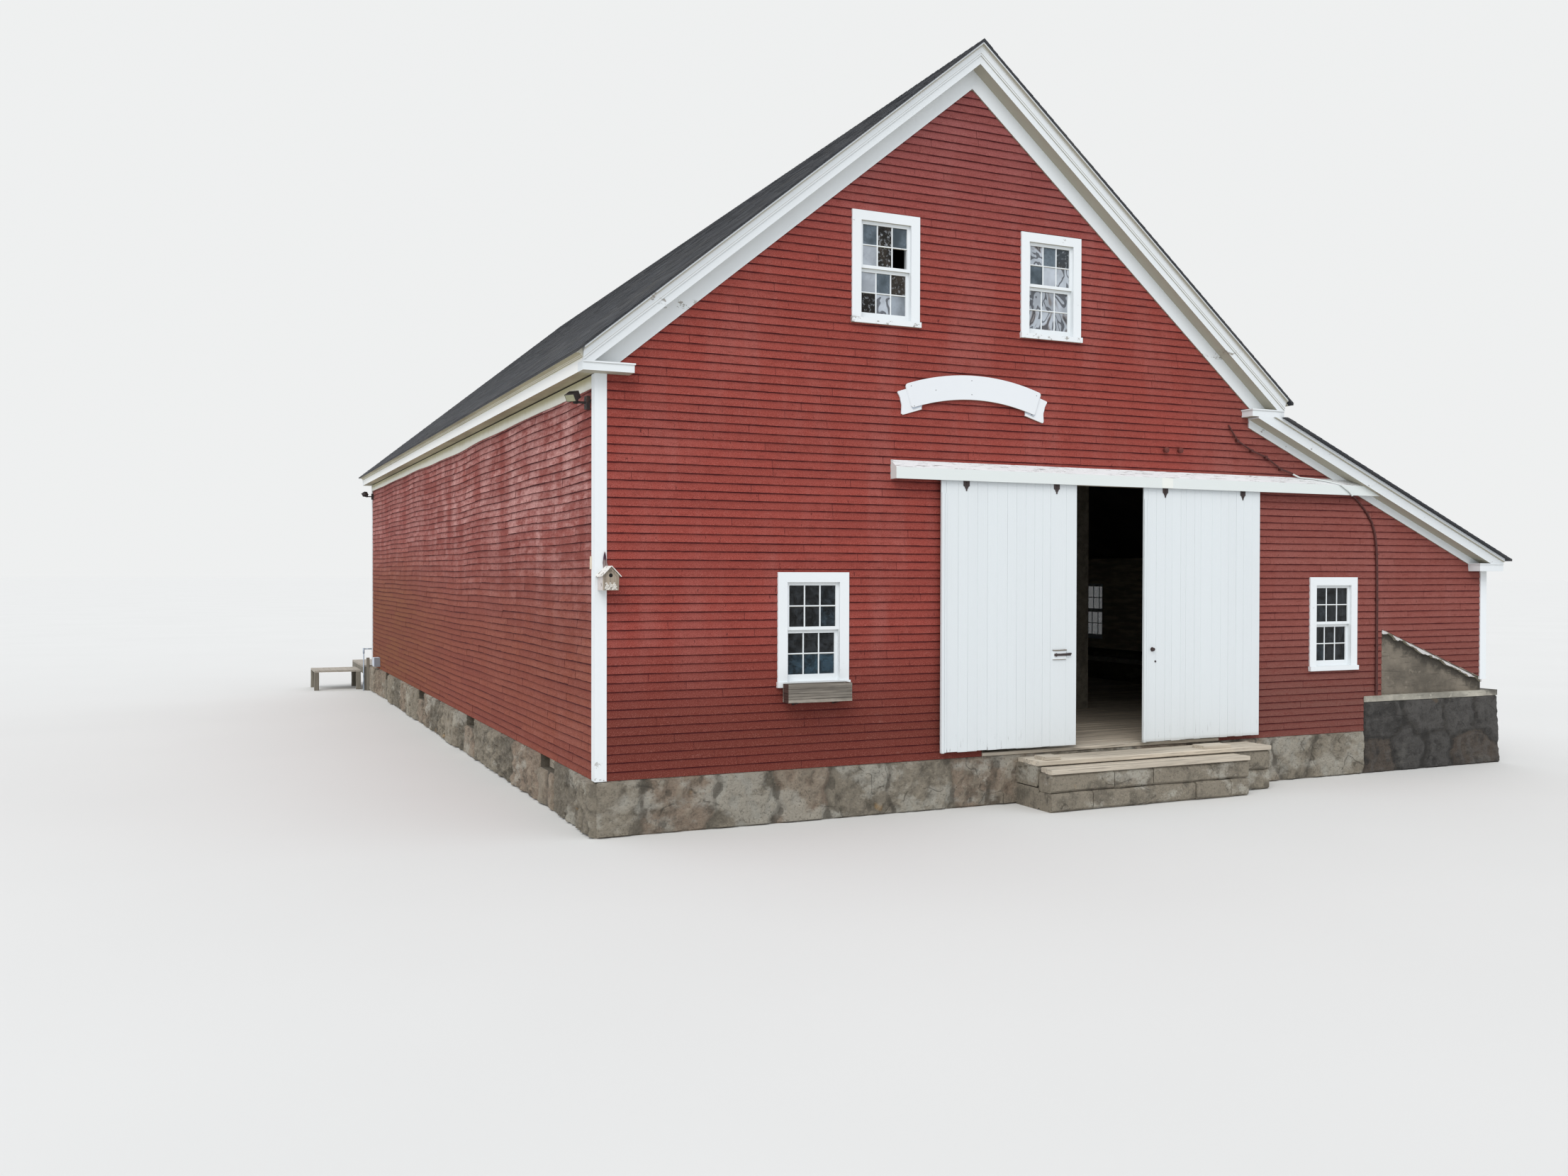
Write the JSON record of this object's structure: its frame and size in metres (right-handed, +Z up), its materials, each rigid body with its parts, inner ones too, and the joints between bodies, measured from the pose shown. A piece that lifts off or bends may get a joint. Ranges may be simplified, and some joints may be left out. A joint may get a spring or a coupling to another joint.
{
  "type": "red timber barn with lean-to and sliding doors",
  "caption": "Red clapboard barn with white trim, a steep shingle roof, a lean-to on the right, sliding doors under a hood and a stone foundation.",
  "frame": {"origin": "centre of the bounding box on the lowest ground level", "axes": "+Z up, +X to the right along the gable front, +Y from the gable front to the back"},
  "size_m": [16.52, 23.84, 9.846],
  "materials": {
    "red_boards": "weathered red paint",
    "white_trim": "white paint, peeling in places",
    "door_paint": "cool white paint",
    "field_stone": "rough",
    "parging": "rough lime coat",
    "weathered_timber": "bare and grey",
    "roof_shingles": "mineral grit",
    "door_iron": "rusty and dull",
    "dark_boards": "matte",
    "window_glass": "clear",
    "sign_board": "white paint",
    "lamp_metal": "dull",
    "conduit_paint": "dull red"
  },
  "bodies": {
    "barn": {"foundation_left": "field_stone", "foundation_ends": "field_stone", "foundation_right": "field_stone", "foundation_ledge": "parging", "cellar_vent_panels": "dark_boards", "parged_wall": "parging", "plank_floor": "weathered_timber", "arcade_frame": "weathered_timber", "front_wall_left": "red_boards", "front_gable": "red_boards", "front_wall_right": "red_boards", "left_wall": "red_boards", "right_wall": "red_boards", "rear_wall": "red_boards", "main_roof_left": "roof_shingles", "main_roof_right": "roof_shingles", "ridge_cap": "roof_shingles", "lean_to_roof": "roof_shingles", "main_rake_cornices": "white_trim", "left_eave_trim": "white_trim", "right_eave_trim": "white_trim", "cornice_returns": "white_trim", "lean_to_rakes": "white_trim", "lean_eave_trim": "white_trim", "corner_boards": "white_trim", "window_casings": "white_trim", "window_sashes": "white_trim", "window_glass": "window_glass", "door_track": "door_iron", "track_hood": "white_trim", "entry_planks": "weathered_timber", "step_base": "field_stone", "window_box": "weathered_timber", "banner_sign": "sign_board", "birdhouse": "weathered_timber", "flood_lamps": "lamp_metal", "electric_service": "conduit_paint", "rear_door": "red_boards", "rear_landing": "weathered_timber"},
    "left_leaf": {"door_left": "door_paint", "left_door_irons": "door_iron", "left_rollers": "door_iron"},
    "right_leaf": {"door_right": "door_paint", "right_door_irons": "door_iron", "right_rollers": "door_iron"}
  },
  "joints": [
    {"name": "left_door_slide", "type": "slide", "parent": "barn", "child": "left_leaf", "axis": [1, 0, 0], "range_m": [-0.6, 0.56]},
    {"name": "right_door_slide", "type": "slide", "parent": "barn", "child": "right_leaf", "axis": [1, 0, 0], "range_m": [-0.56, 1.4]}
  ]
}
